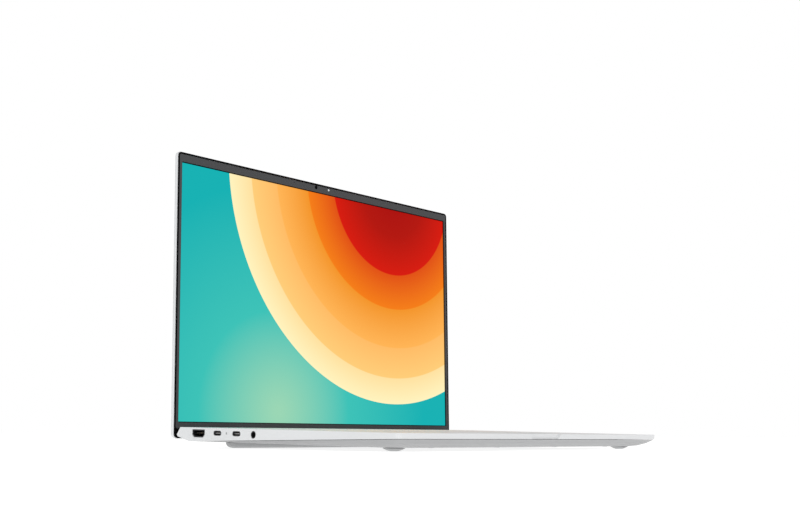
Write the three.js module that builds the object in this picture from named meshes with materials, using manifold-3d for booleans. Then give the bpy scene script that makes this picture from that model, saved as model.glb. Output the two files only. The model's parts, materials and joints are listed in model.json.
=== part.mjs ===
// A thin 16-inch clamshell laptop, open at a working angle and standing on its own rubber feet.
// Millimetres, +Z up, +X to the user's right, +Y away from the user. The base is drawn in the frame
// of its deck: z = 0 is the deck's top, y = 0 its front edge, x = 0 its middle. The lid is drawn
// upright in the frame of its hinge: the hinge axis is x, and the screen faces -y.

import * as THREE from "three";
import { mergeVertices } from "three/addons/utils/BufferGeometryUtils.js";
import Module from "manifold-3d";

const wasm = await Module();
wasm.setup();

// ---------------------------------------------------------------- driving dimensions

const CLEAR = 0.3; // gap between pieces that touch

// Base
const WIDTH = 355.1;
const SIDE = WIDTH / 2;
const DECK_DEPTH = 233;
const NOSE = { y: 237.2, z: -6 }; // rearmost line of the base
const FRONT_EDGE = 4; // height of the side wall at the front
const WALL_SLOPE = 0.0311; // the side wall grows this much per mm towards the back
const WALL_END = 222; // y where the side wall turns up to the nose
const UNDERSIDE = { front: -10.6, slope: 0.003 }; // flat middle of the bottom cover
const CHAMFER = 14; // width of the sloping border of the bottom cover
const CORNER = 3.4;
const DECK_THICK = 1.3;
const WALL_THICK = 1.5;
const FRONT_THICK = 3.5;
const COVER_THICK = 1.2;

// Feet
const REAR_FOOT = { y: 200, z: -15.9, half: 150, ramp: 6.5, tread: 4.6, width: 10 };
const FRONT_FOOT = { x: 154, y: 24.6, z: -13.1, radius: 8.4, tread: 3 };
const STANCE = Math.atan2(FRONT_FOOT.z - REAR_FOOT.z, REAR_FOOT.y - FRONT_FOOT.y);

// Lid and hinge
const HINGE = { y: 234.85, z: -5.85, x: 127.55 };
const LID_ANGLE = THREE.MathUtils.degToRad(92.29); // opening at rest
const LID_FACE = 6.35; // bezel face behind the hinge axis
const LID_THICK = 4.8;
const LID_TOP = 234.85;
const LID_FOOT = -3.25;
const LID_LIP = 0.5; // the cover's edge stands back this far from the bezel face
const GASKET = 1.35; // width of the rubber rim
const SCREEN = { width: 344.7, height: 215.4, bottom: 10.55 };
const BORDER = 0.7; // unlit border of the panel inside the bezel's window
const BEZEL_THICK = 0.8;
const BEZEL_FOOT = 5;
const BEHIND_BEZEL = LID_FACE + BEZEL_THICK + CLEAR;
const PANEL = { width: 347.8, z: [9.1, 227.6], thick: 1.9 };
const CAMERA = { z: 230.95, lens: 0, sensor: -16.65, lensRadius: 1.3, sensorRadius: 1.5 };
const BARREL = 3.8;
const KNUCKLE = 3.4;
const PIN = 1.5;
const ARM_HALF = 12;
const ARM_NOTCH = 4.2; // height of the arms' way through the lid's face
const KNUCKLE_HALF = 5;

// Keyboard and touchpad
const KEY = { unit: 18, row: 18, top: 11.5, gap: 2.6, left: -165, rear: 211, depth: 2.4 };
const PAD_KEY = { unit: 14.6, left: 106.6 };
const WEB = { half: 3, z0: -2.7, z1: -2.1 };
const WELL = { half: 166.4, front: 108.1, rear: 212.4 };
const TOUCHPAD = { x: -30, width: 131, depth: 83, front: 12.5, z0: -2.2, z1: -0.25 };

// Ports: middle along y, height, width and height of the opening
const HDMI = { y: 210.2, z: -4.6, width: 14.8, height: 5.7, inside: [14, 4.8], deep: 11 };
const USB_C = { z: -3.96, width: 9, height: 3.3, inside: [8.3, 2.6], deep: 8.5 };
const USB_C_Y = { rear: 187.4, front: 165.2 };
const JACK = { y: 145.9, z: -4.35, radius: 2.6, bore: 1.8, deep: 10.8 };
const LED = { y: 176.7, z: -3.94, radius: 0.6 };
const USB_A = { z: -4.5, width: 13.4, height: 6, inside: [12.4, 5], deep: 11 };
const USB_A_Y = { rear: 196, front: 174 };
const CARD = { y: 153, z: -3.4, width: 12, height: 1.8, inside: [11.2, 1], deep: 10.8 };
const LOCK = { y: 214, z: -4.4, width: 7, height: 3 };

// Slots in the shells: count, pitch, length and width
const EXHAUST = { count: 16, pitch: 9, length: 6, z: [-4.8, -2.6] };
const INTAKE = { count: 10, pitch: 4.6, length: 44, width: 1.8 };
const GRILLE = { count: 6, pitch: 6, length: 9, width: 2, x: 157, front: 50 };

// Inside the base
const BOARD = { x: [-160, 60], y: [118, 206], z: [-7, -6.2] };
const BATTERY = { half: 150, front: 22.5, rear: 102, tray: [-8.8, -8.1], cell: [-8.2, -4.4] };
const CARD_Z = { board: [-8.9, -8.2], chip: [-9.3, -8.8] };
const SSD = { x: [-150, -70], y: [125, 147] };
const WIFI = { x: [-150, -120], y: [160, 182] };
const SINK = { width: 56, y: [202, 211], back: [-6, -5.4], fin: [-8, -5.9], fins: 20, pitch: 2.8 };
const PIPE = { width: 5.2, height: 1.4, z: -9 };
const PIPE_ROUTE = [
  [-10, 171],
  [20, 171],
  [46, 182],
  [62, 202],
  [84, 206.5],
  [126, 206.5],
];
const SPEAKER = { x: [151.5, 168], y: [44, 92], z: [-7.2, -2.4], cone: { x: 159.75, y: 58, radius: 6 } };
const LEAF = { half: 22, y: [214.5, 226.8], z: [-7, -5.8], screw: 1.3, screwX: 17, screwY: 221 };
const FAN = { x: 100, y: 170, radius: 25, half: 29, z0: -9.4, z1: -5.4, blades: 17, inlet: 15, hub: 9, disc: 20 };

const SIDES = [
  ["left", -1],
  ["right", 1],
];

// ---------------------------------------------------------------- shape helpers

const AXIS = {
  x: new THREE.Vector3(1, 0, 0),
  y: new THREE.Vector3(0, 1, 0),
  z: new THREE.Vector3(0, 0, 1),
};
// An outline drawn in (y, z) and swept along x, and one drawn in (x, z) and swept along -y.
const SWEEP_X = new THREE.Matrix4().makeBasis(AXIS.y, AXIS.z, AXIS.x);
const SWEEP_Y = new THREE.Matrix4().makeBasis(AXIS.x, AXIS.z, AXIS.y.clone().negate());

function solid(geometry) {
  geometry.deleteAttribute("normal");
  geometry.deleteAttribute("uv");
  const merged = mergeVertices(geometry, 1e-4);
  const mesh = new wasm.Mesh({
    numProp: 3,
    vertProperties: merged.attributes.position.array,
    triVerts: new Uint32Array(merged.index.array),
  });
  return new wasm.Manifold(mesh);
}

function surface(body) {
  const mesh = body.getMesh();
  const geometry = new THREE.BufferGeometry();
  geometry.setAttribute("position", new THREE.BufferAttribute(mesh.vertProperties, 3));
  geometry.setIndex(new THREE.BufferAttribute(mesh.triVerts, 1));
  geometry.computeVertexNormals();
  return geometry;
}

function join(bodies) {
  return bodies.reduce((whole, body) => whole.add(body));
}

function cut(body, tools) {
  return tools.reduce((left, tool) => left.subtract(tool), body);
}

function box([x0, x1], [y0, y1], [z0, z1]) {
  const geometry = new THREE.BoxGeometry(x1 - x0, y1 - y0, z1 - z0);
  geometry.translate((x0 + x1) / 2, (y0 + y1) / 2, (z0 + z1) / 2);
  return solid(geometry);
}

function ordered(a, b) {
  return [Math.min(a, b), Math.max(a, b)];
}

function around(middle, width) {
  return [middle - width / 2, middle + width / 2];
}

// Places of a row of slots or fins, spaced evenly about zero.
function evenly({ count, pitch }) {
  return Array.from({ length: count }, (_, i) => (i - (count - 1) / 2) * pitch);
}

// Corner points of a rectangle with rounded corners, anticlockwise.
function rounded([x0, x1], [y0, y1], radius, steps = 4) {
  const centres = [
    [x1 - radius, y0 + radius],
    [x1 - radius, y1 - radius],
    [x0 + radius, y1 - radius],
    [x0 + radius, y0 + radius],
  ];
  const points = centres.flatMap(([x, y], corner) =>
    Array.from({ length: steps + 1 }, (_, i) => {
      const turn = (Math.PI / 2) * (corner - 1 + i / steps);
      return new THREE.Vector2(x + radius * Math.cos(turn), y + radius * Math.sin(turn));
    }),
  );
  return points.filter((p, i) => p.distanceTo(points[(i + 1) % points.length]) > 1e-4);
}

function extruded(points, depth, holes = []) {
  const shape = new THREE.Shape(points);
  shape.holes = holes.map((hole) => new THREE.Path(hole));
  return new THREE.ExtrudeGeometry(shape, { depth, bevelEnabled: false });
}

// A plate drawn in (x, y) between two heights.
function plate(points, [z0, z1], holes) {
  return solid(extruded(points, z1 - z0, holes).translate(0, 0, z0));
}

// A bar whose section is drawn in (y, z), between two places along x.
function bar(points, [x0, x1], holes) {
  return solid(extruded(points, x1 - x0, holes).applyMatrix4(SWEEP_X).translate(x0, 0, 0));
}

// A panel drawn in (x, z), between a front face and a back face along y.
function panel(points, [front, back], holes) {
  return solid(extruded(points, back - front, holes).applyMatrix4(SWEEP_Y).translate(0, back, 0));
}

function ring(radius, sides) {
  return Array.from({ length: sides }, (_, i) => {
    const turn = (2 * Math.PI * i) / sides;
    return new THREE.Vector2(radius * Math.cos(turn), radius * Math.sin(turn));
  });
}

function moved(points, x, y) {
  return points.map((p) => new THREE.Vector2(p.x + x, p.y + y));
}

// A convex skin through rings of points, from the lowest ring to the highest.
function loft(rings) {
  const count = rings[0].length;
  const last = (rings.length - 1) * count;
  const index = [];
  for (let k = 0; k < last; k += count) {
    for (let i = 0; i < count; i++) {
      const j = (i + 1) % count;
      index.push(k + i, k + j, k + count + j);
      index.push(k + i, k + count + j, k + count + i);
    }
  }
  for (let i = 1; i < count - 1; i++) {
    index.push(0, i + 1, i);
    index.push(last, last + i, last + i + 1);
  }
  const geometry = new THREE.BufferGeometry().setFromPoints(rings.flat());
  geometry.setIndex(index);
  return geometry;
}

// ---------------------------------------------------------------- finishes

const FINISHES = {
  shell: { color: 0xe9eaeb, roughness: 0.5, metalness: 0.1 },
  under: { color: 0xc9cbcd, roughness: 0.6, metalness: 0.1 },
  key: { color: 0xf2f2f2, roughness: 0.6, metalness: 0 },
  pad: { color: 0xe4e5e6, roughness: 0.35, metalness: 0 },
  bezel: { color: 0x3c3e40, roughness: 0.65, metalness: 0 },
  rubber: { color: 0x0d0d0e, roughness: 0.8, metalness: 0 },
  foot: { color: 0xb4b6b8, roughness: 0.85, metalness: 0 },
  screen: { color: 0x27b8ae, roughness: 0.3, metalness: 0 },
  steel: { color: 0x9a9da1, roughness: 0.35, metalness: 0.9 },
  copper: { color: 0xb5734a, roughness: 0.35, metalness: 0.9 },
  board: { color: 0x1d4a34, roughness: 0.6, metalness: 0.1 },
  plastic: { color: 0x1c1d1f, roughness: 0.6, metalness: 0 },
  lamp: { color: 0xf4f6f8, roughness: 0.3, metalness: 0 },
};

function piece(group, name, body, finish) {
  const material = new THREE.MeshStandardMaterial(FINISHES[finish]);
  const mesh = new THREE.Mesh(surface(body), material);
  mesh.name = name;
  group.add(mesh);
  return mesh;
}

// ---------------------------------------------------------------- base shells

function wallFoot(y) {
  return -FRONT_EDGE - WALL_SLOPE * y;
}

function underside(y) {
  return UNDERSIDE.front - UNDERSIDE.slope * y;
}

// Section of the base, front to back, drawn in (y, z).
function baseSection() {
  return [
    [0, 0],
    [0, wallFoot(0)],
    [WALL_END, wallFoot(WALL_END)],
    [229, -9.2],
    [NOSE.y - 1.2, NOSE.z - 1.4],
    [NOSE.y, NOSE.z],
    [DECK_DEPTH, 0],
  ].map(([y, z]) => new THREE.Vector2(y, z));
}

// The room inside the top case: open below up to the turn of the wall.
function caseRoom() {
  return [
    [FRONT_THICK, -DECK_THICK],
    [FRONT_THICK, -30],
    [WALL_END, -30],
    [WALL_END, -9.5],
    [229, -7.8],
    [NOSE.y - 2.2, NOSE.z - 0.4],
    [DECK_DEPTH - 1, -DECK_THICK],
  ].map(([y, z]) => new THREE.Vector2(y, z));
}

function touchpadOutline(grow) {
  const x = around(TOUCHPAD.x, TOUCHPAD.width + 2 * grow);
  return rounded(x, [TOUCHPAD.front - grow, TOUCHPAD.front + TOUCHPAD.depth + grow], 3);
}

// Everything that is cut through the left and right walls for the sockets.
function portHoles() {
  const wall = [-SIDE - 1, -SIDE + WALL_THICK + 1];
  const holes = [bar(hdmiOutline(CLEAR), wall)];
  for (const y of Object.values(USB_C_Y)) {
    holes.push(bar(usbCOutline(y, CLEAR), wall));
  }
  holes.push(bar(moved(ring(JACK.radius + CLEAR, 16), JACK.y, JACK.z), wall));
  holes.push(bar(moved(ring(LED.radius + CLEAR, 8), LED.y, LED.z), wall));
  const right = [SIDE - WALL_THICK - 1, SIDE + 1];
  for (const y of Object.values(USB_A_Y)) {
    const [width, height] = [USB_A.width + 2 * CLEAR, USB_A.height + 2 * CLEAR];
    holes.push(box(right, around(y, width), around(USB_A.z, height)));
  }
  const [width, height] = [CARD.width + 2 * CLEAR, CARD.height + 2 * CLEAR];
  holes.push(box(right, around(CARD.y, width), around(CARD.z, height)));
  holes.push(bar(rounded(around(LOCK.y, LOCK.width), around(LOCK.z, LOCK.height), 0.7, 2), right));
  return holes;
}

// A finger scoop in the front edge, wider at the top than at the bottom.
function fingerScoop() {
  const outline = [
    [-16.5, -6],
    [16.5, -6],
    [22.5, 1],
    [-22.5, 1],
  ].map(([x, z]) => new THREE.Vector2(x, z));
  return panel(outline, [-1, 2]);
}

function topCase() {
  const plan = rounded([-SIDE, SIDE], [0, 260], CORNER);
  const outer = bar(baseSection(), [-SIDE, SIDE]).intersect(plate(plan, [-30, 10]));
  const room = bar(caseRoom(), [-SIDE + WALL_THICK, SIDE - WALL_THICK]);
  const blocks = [];
  const slots = [];
  for (const x of [-HINGE.x, HINGE.x]) {
    const block = box(around(x, 2 * ARM_HALF + 4), [227.5, 245], [-20, 0]);
    blocks.push(block.intersect(outer));
    slots.push(box(around(x, 2 * ARM_HALF + 0.8), [HINGE.y - BARREL - 0.45, 245], [-20, 5]));
    slots.push(box(around(x, 2 * KNUCKLE_HALF + 1), [227, 232], [-8.1, -3.4]));
  }
  const vents = [];
  for (const x of evenly(EXHAUST)) {
    vents.push(box(around(x, EXHAUST.length), [231, 240], EXHAUST.z));
  }
  const well = rounded([-WELL.half, WELL.half], [WELL.front, WELL.rear], 2, 2);
  const openings = [plate(well, [-5, 5]), plate(touchpadOutline(CLEAR), [-5, 5]), fingerScoop()];
  const shell = join([cut(outer, [room]), ...blocks]);
  return cut(shell, [...slots, ...vents, ...openings, ...portHoles()]);
}

// One ring of the bottom cover: inset from the base's edge, and sunk a share of the way down.
function coverRing(inset, share, rise = 0, thin = 0) {
  const edge = 0.4 + inset + thin;
  const x = SIDE - edge;
  const rear = WALL_END - 0.4 - 0.1 * inset - thin;
  return rounded([-x, x], [edge, rear], CORNER + 0.6 * inset, 5).map((p) => {
    const top = wallFoot(p.y) - CLEAR;
    return new THREE.Vector3(p.x, p.y, top + share * (underside(p.y) - top) + rise);
  });
}

const COVER_CURVE = [
  [CHAMFER, 1],
  [CHAMFER * 0.66, 0.86],
  [CHAMFER * 0.3, 0.5],
  [0, 0],
];

function bottomCover() {
  const outer = solid(loft(COVER_CURVE.map(([inset, share]) => coverRing(inset, share))));
  const inside = COVER_CURVE.map(([inset, share]) =>
    coverRing(inset, share, COVER_THICK, COVER_THICK),
  );
  inside.push(coverRing(0, 0, 12, COVER_THICK));
  const slots = [];
  for (const y of evenly(INTAKE)) {
    slots.push(box(around(FAN.x, INTAKE.length), around(FAN.y + y, INTAKE.width), [-14, -8]));
  }
  for (const x of [-GRILLE.x, GRILLE.x]) {
    for (let i = 0; i < GRILLE.count; i++) {
      const y = GRILLE.front + i * GRILLE.pitch;
      slots.push(box(around(x, GRILLE.length), around(y, GRILLE.width), [-14, -6]));
    }
  }
  return cut(outer, [solid(loft(inside)), ...slots]);
}

// ---------------------------------------------------------------- sockets

// The wide opening whose two lower corners are cut off.
function hdmiOutline(grow, width = HDMI.width, height = HDMI.height) {
  const [a, b] = around(HDMI.y, width + 2 * grow);
  const [low, high] = around(HDMI.z, height + 2 * grow);
  return [
    [a + 2.2, low],
    [b - 2.2, low],
    [b, low + 2],
    [b, high],
    [a, high],
    [a, low + 2],
  ].map(([y, z]) => new THREE.Vector2(y, z));
}

function usbCOutline(y, grow, width = USB_C.width, height = USB_C.height) {
  const half = height / 2 + grow;
  return rounded(around(y, width + 2 * grow), around(USB_C.z, 2 * half), half, 4);
}

// A socket is a sleeve closed at its inner end, with its mouth flush with the wall.
function socket(outline, hollow, side, deep) {
  const mouth = side * (SIDE - 0.15);
  const inner = side * (SIDE - 0.15 - deep);
  const sleeve = bar(outline, ordered(mouth, inner));
  const stop = inner + side * 1.2;
  const way = bar(hollow, ordered(mouth + side, stop));
  return cut(sleeve, [way]);
}

function hdmiPort() {
  return socket(hdmiOutline(0), hdmiOutline(0, ...HDMI.inside), -1, HDMI.deep);
}

function usbCPort(y) {
  return socket(usbCOutline(y, 0), usbCOutline(y, 0, ...USB_C.inside), -1, USB_C.deep);
}

function audioJack() {
  const outline = moved(ring(JACK.radius, 16), JACK.y, JACK.z);
  const hollow = moved(ring(JACK.bore, 16), JACK.y, JACK.z);
  return socket(outline, hollow, -1, JACK.deep);
}

function squareSocket(port, y) {
  const [width, height] = port.inside;
  const outline = rounded(around(y, port.width), around(port.z, port.height), 0.5, 2);
  const hollow = rounded(around(y, width), around(port.z, height), 0.3, 1);
  return socket(outline, hollow, 1, port.deep);
}

function chargeLamp() {
  return bar(moved(ring(LED.radius, 8), LED.y, LED.z), [-SIDE + 0.1, -SIDE + 4]);
}

// A steel loop behind the lock's slot.
function lockPlate() {
  const outline = rounded(around(LOCK.y, 12), around(LOCK.z, 5.6), 0.6, 2);
  const hole = rounded(around(LOCK.y, LOCK.width), around(LOCK.z, LOCK.height), 0.7, 2);
  return bar(outline, [SIDE - WALL_THICK - 1.8, SIDE - WALL_THICK - CLEAR], [hole]);
}

// ---------------------------------------------------------------- feet

// Height of the standing plane under a place on the base, in the deck's frame.
function ground(y) {
  return REAR_FOOT.z - (y - REAR_FOOT.y) * Math.tan(STANCE);
}

// Both kinds of foot swell from a flat tread up to the bottom cover.
function footHeight(y, share) {
  return ground(y) + share * (underside(y) - CLEAR - ground(y));
}

// A long foot whose ends and edges are quarter ellipses.
function rearFoot() {
  const rings = [0, 0.15, 0.45, 1].map((share) => {
    const swell = Math.sqrt(1 - (1 - share) ** 2);
    const half = REAR_FOOT.half + swell * REAR_FOOT.ramp;
    const width = REAR_FOOT.tread + swell * (REAR_FOOT.width - REAR_FOOT.tread);
    const outline = rounded([-half, half], around(REAR_FOOT.y, width), width / 2, 5);
    return outline.map((p) => new THREE.Vector3(p.x, p.y, footHeight(p.y, share)));
  });
  return solid(loft(rings));
}

// A shallow dome with a flat tread.
function frontFoot(x) {
  const { y, radius, tread } = FRONT_FOOT;
  const rings = [0, 0.2, 0.55, 1].map((share) => {
    const reach = Math.sqrt(tread ** 2 + share * (radius ** 2 - tread ** 2));
    const outline = moved(ring(reach, 24), x, y);
    return outline.map((p) => new THREE.Vector3(p.x, p.y, footHeight(p.y, share)));
  });
  return solid(loft(rings));
}

// ---------------------------------------------------------------- keyboard and touchpad

function rowSpan(row, rows = 1) {
  const rear = row === 0 ? KEY.rear : KEY.rear - KEY.top - KEY.row * (row - 1);
  const depth = row === 0 ? KEY.top : KEY.row * rows;
  return [rear - depth + KEY.gap / 2, rear - KEY.gap / 2];
}

function cap(x0, x1, span) {
  return box([x0 + KEY.gap / 2, x1 - KEY.gap / 2], span, [-KEY.depth, 0]);
}

// Caps side by side in one row, carried on a thin strip under them.
function keyRow(row, start, widths, unit = KEY.unit, left = KEY.left) {
  const span = rowSpan(row);
  const middle = (span[0] + span[1]) / 2;
  const caps = [];
  let x = left + start * unit;
  const first = x;
  for (const width of widths) {
    caps.push(cap(x, x + width * unit, span));
    x += width * unit;
  }
  if (widths.length === 1) return caps[0];
  const strip = box([first + 4, x - 4], around(middle, 2 * WEB.half), [WEB.z0, WEB.z1]);
  return join([...caps, strip]);
}

function ones(count) {
  return Array(count).fill(1);
}

// name, row from the back, first column, widths in key units
const KEY_GROUPS = [
  ["escape_key", 0, 0, [1]],
  ["function_row_keys", 0, 1, ones(14)],
  ["number_row_keys", 1, 0, ones(13)],
  ["backspace_key", 1, 13, [2]],
  ["tab_key", 2, 0, [1.5]],
  ["upper_letter_keys", 2, 1.5, [...ones(12), 1.5]],
  ["caps_lock_key", 3, 0, [1.75]],
  ["home_letter_keys", 3, 1.75, ones(11)],
  ["enter_key", 3, 12.75, [2.25]],
  ["left_shift_key", 4, 0, [2.25]],
  ["lower_letter_keys", 4, 2.25, ones(10)],
  ["right_shift_key", 4, 12.25, [1.75]],
  ["arrow_up_key", 4, 14, [1]],
  ["left_modifier_keys", 5, 0, [1.25, 1, 1, 1.25]],
  ["space_bar", 5, 4.5, [5.5]],
  ["right_modifier_keys", 5, 10, [1, 1]],
  ["arrow_left_key", 5, 12, [1]],
  ["arrow_down_key", 5, 13, [1]],
  ["arrow_right_key", 5, 14, [1]],
];

// widths of the number pad's keys, one list for each row from the back
const PAD_ROWS = [ones(3), ones(4), ones(3), ones(3), ones(3), [2, 1]];

function numpadKeys() {
  const rows = PAD_ROWS.map((widths, row) => keyRow(row, 0, widths, PAD_KEY.unit, PAD_KEY.left));
  const x = PAD_KEY.left + PAD_KEY.unit * 1.5;
  const spine = [rowSpan(5)[0] + 5, rowSpan(0)[1] - 3];
  return join([...rows, box(around(x, 2 * WEB.half), spine, [WEB.z0, WEB.z1])]);
}

function lastPadKey(row, rows) {
  const x = PAD_KEY.left + PAD_KEY.unit * 3;
  return cap(x, x + PAD_KEY.unit, rowSpan(row, rows));
}

function touchpad() {
  return plate(touchpadOutline(0), [TOUCHPAD.z0, TOUCHPAD.z1]);
}

function backplate() {
  const outline = rounded([-166, 166], [107, 213], 2, 2);
  return plate(outline, [-5, -4.4]);
}

// ---------------------------------------------------------------- inside the base

function motherboard() {
  const board = box(BOARD.x, BOARD.y, BOARD.z);
  const chips = [box([-20, 22], [160, 182], [-8.2, -6.9])];
  for (let i = 0; i < 4; i++) {
    chips.push(box([-96 + i * 17, -84 + i * 17], [184, 196], [-8, -6.9]));
  }
  for (let i = 0; i < 3; i++) {
    chips.push(box([34 + i * 7, 39 + i * 7], [140, 150], [-8.4, -6.9]));
  }
  return join([board, ...chips]);
}

function batteryPack() {
  const { half, front, rear, tray, cell } = BATTERY;
  const parts = [box([-half, half], [front, rear], tray)];
  for (const x of evenly({ count: 3, pitch: 100 })) {
    parts.push(box(around(x, 98), [front + 0.5, 61], cell));
    parts.push(box(around(x, 98), [63, rear - 1], cell));
  }
  return join(parts);
}

function fanHousing() {
  const [x, y] = [around(FAN.x, 2 * FAN.half), around(FAN.y, 2 * FAN.half)];
  const housing = box(x, y, [FAN.z0, FAN.z1]);
  const chamber = plate(moved(ring(FAN.radius, 24), FAN.x, FAN.y), [FAN.z0 + 0.6, FAN.z1 - 0.6]);
  const inlet = plate(moved(ring(FAN.inlet, 16), FAN.x, FAN.y), [FAN.z0 - 1, FAN.z0 + 2]);
  const outlet = box(around(FAN.x, 44), [FAN.y, FAN.y + 40], [FAN.z0 + 0.6, FAN.z1 - 0.6]);
  return cut(housing, [chamber, inlet, outlet]);
}

function fanImpeller() {
  const z = [FAN.z0 + 1, FAN.z1 - 1];
  const hub = plate(ring(FAN.hub, 16), z);
  const disc = plate(ring(FAN.disc, 20), [z[1] - 0.5, z[1]]);
  const blades = [];
  for (let i = 0; i < FAN.blades; i++) {
    const blade = new THREE.BoxGeometry(15, 0.8, z[1] - z[0]);
    blade.translate(15.5, -4, (z[0] + z[1]) / 2);
    blade.rotateZ((2 * Math.PI * i) / FAN.blades);
    blades.push(solid(blade));
  }
  return join([hub, disc, ...blades]);
}

function heatSink() {
  const back = box(around(FAN.x, SINK.width), SINK.y, SINK.back);
  const fins = evenly({ count: SINK.fins, pitch: SINK.pitch }).map((x) =>
    box(around(FAN.x + x, 0.8), SINK.y, SINK.fin),
  );
  return join([back, ...fins]);
}

function heatPipe() {
  const section = rounded(around(0, PIPE.height), around(0, PIPE.width), 0.6, 2);
  const route = new THREE.CatmullRomCurve3(
    PIPE_ROUTE.map(([x, y]) => new THREE.Vector3(x, y, PIPE.z)),
  );
  const settings = { steps: 24, extrudePath: route, bevelEnabled: false };
  return solid(new THREE.ExtrudeGeometry(new THREE.Shape(section), settings));
}

function card({ x: [x0, x1], y: [y0, y1] }) {
  const board = box([x0, x1], [y0, y1], CARD_Z.board);
  const chip = box([x0 + 6, x1 - 6], [y0 + 4, y1 - 4], CARD_Z.chip);
  return join([board, chip]);
}

function speaker(side) {
  const x = ordered(side * SPEAKER.x[0], side * SPEAKER.x[1]);
  const body = plate(rounded(x, SPEAKER.y, 3, 3), SPEAKER.z);
  const { x: out, y, radius } = SPEAKER.cone;
  return cut(body, [plate(moved(ring(radius, 16), side * out, y), [-8, -6.6])]);
}

// ---------------------------------------------------------------- hinges

// The steel leaf screwed under the deck, with the knuckle that the pin turns in.
function hingeBracket(side) {
  const middle = side * HINGE.x;
  const leaf = box(around(middle, 2 * LEAF.half), LEAF.y, LEAF.z);
  const neck = box(around(middle, 2 * KNUCKLE_HALF), [226, HINGE.y - 1], [-7.6, -4]);
  const knuckle = rodX(KNUCKLE, around(middle, 2 * KNUCKLE_HALF), HINGE.y, HINGE.z, 20);
  const bore = rodX(PIN + CLEAR, around(middle, 30), HINGE.y, HINGE.z, 16);
  const holes = [-LEAF.screwX, LEAF.screwX].map((x) =>
    plate(moved(ring(LEAF.screw, 8), middle + x, LEAF.screwY), [-9, -4]),
  );
  return cut(join([leaf, neck, knuckle]), [bore, ...holes]);
}

function rodX(radius, [x0, x1], y, z, sides) {
  return bar(moved(ring(radius, sides), y, z), [x0, x1]);
}

// The lid's arm: two cheeks on the pin, a neck, and a leaf behind the bezel.
function hingeArm(side) {
  const middle = side * HINGE.x;
  const parts = [];
  for (const end of [-1, 1]) {
    const x = ordered(middle + end * (KNUCKLE_HALF + 0.35), middle + end * ARM_HALF);
    parts.push(rodX(BARREL, x, 0, 0, 20));
    parts.push(box(x, [0, LID_FACE + 2.35], [-1.7, BARREL]));
  }
  const leaf = ordered(middle + side * ARM_HALF, middle - side * 42);
  parts.push(box(leaf, [LID_FACE + 1.15, LID_FACE + 2.35], [0.5, 8.7]));
  const bore = rodX(PIN + CLEAR, around(middle, 30), 0, 0, 16);
  return cut(join(parts), [bore]);
}

function hingePin(side) {
  return rodX(PIN, around(side * HINGE.x, 2 * ARM_HALF - 1), 0, 0, 12);
}

// ---------------------------------------------------------------- lid

function lidOutline(inset, radius = CORNER, foot = LID_FOOT + inset) {
  return rounded([-SIDE + inset, SIDE - inset], [foot, LID_TOP - inset], radius);
}

function armNotch(side, [z0, z1]) {
  const y = [LID_FACE - 1, LID_FACE + 2.75];
  return box(around(side * HINGE.x, 2 * ARM_HALF + 0.8), y, [z0, z1]);
}

function lidCover() {
  const back = LID_FACE + LID_THICK;
  const rim = [
    [1.8, back],
    [0.6, back - 0.45],
    [0.15, back - 1.2],
    [0, back - 2.2],
    [0, LID_FACE + LID_LIP],
  ];
  const rings = rim.map(([inset, y]) =>
    lidOutline(inset, CORNER).map((p) => new THREE.Vector3(p.x, p.y, -y)),
  );
  const outer = solid(loft(rings).applyMatrix4(SWEEP_Y));
  const room = panel(
    lidOutline(COVER_THICK, CORNER - COVER_THICK, LID_FOOT + 3.4),
    [0, back - COVER_THICK],
  );
  return cut(outer, [room, armNotch(-1, [-2.05, 6]), armNotch(1, [-2.05, 6])]);
}

// The rubber rim runs round the lid's face, and is wider along the hinges.
function rimGasket() {
  const face = [LID_FACE - 0.2, LID_FACE + 0.2];
  const inset = CLEAR + GASKET;
  const inside = lidOutline(inset, CORNER - inset, BEZEL_FOOT - CLEAR);
  const rim = panel(lidOutline(CLEAR, CORNER), face, [inside]);
  return cut(rim, [armNotch(-1, [LID_FOOT, ARM_NOTCH]), armNotch(1, [LID_FOOT, ARM_NOTCH])]);
}

function screenWindow() {
  const z = [SCREEN.bottom - BORDER, SCREEN.bottom + SCREEN.height + BORDER];
  return rounded([-SCREEN.width / 2 - BORDER, SCREEN.width / 2 + BORDER], z, 0.6, 1);
}

function screenBezel() {
  const inset = CLEAR * 2 + GASKET;
  const outline = lidOutline(inset, CORNER - inset, BEZEL_FOOT);
  const holes = [
    screenWindow(),
    moved(ring(CAMERA.lensRadius + CLEAR, 16), CAMERA.lens, CAMERA.z),
    moved(ring(CAMERA.sensorRadius + CLEAR, 16), CAMERA.sensor, CAMERA.z),
  ];
  return panel(outline, [LID_FACE, LID_FACE + BEZEL_THICK], holes);
}

function displayPanel() {
  const outline = rounded(around(0, PANEL.width), PANEL.z, 1, 1);
  return panel(outline, [BEHIND_BEZEL, BEHIND_BEZEL + PANEL.thick]);
}

function cameraModule() {
  const depth = [BEHIND_BEZEL, BEHIND_BEZEL + 1.5];
  const board = box([-30, 12], depth, around(CAMERA.z, 3.2));
  const barrel = [LID_FACE + 0.15, BEHIND_BEZEL + 0.5];
  const lens = panel(moved(ring(CAMERA.lensRadius, 16), CAMERA.lens, CAMERA.z), barrel);
  const sensor = panel(moved(ring(CAMERA.sensorRadius, 16), CAMERA.sensor, CAMERA.z), barrel);
  return join([board, lens, sensor]);
}

// ---------------------------------------------------------------- assembly

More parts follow.
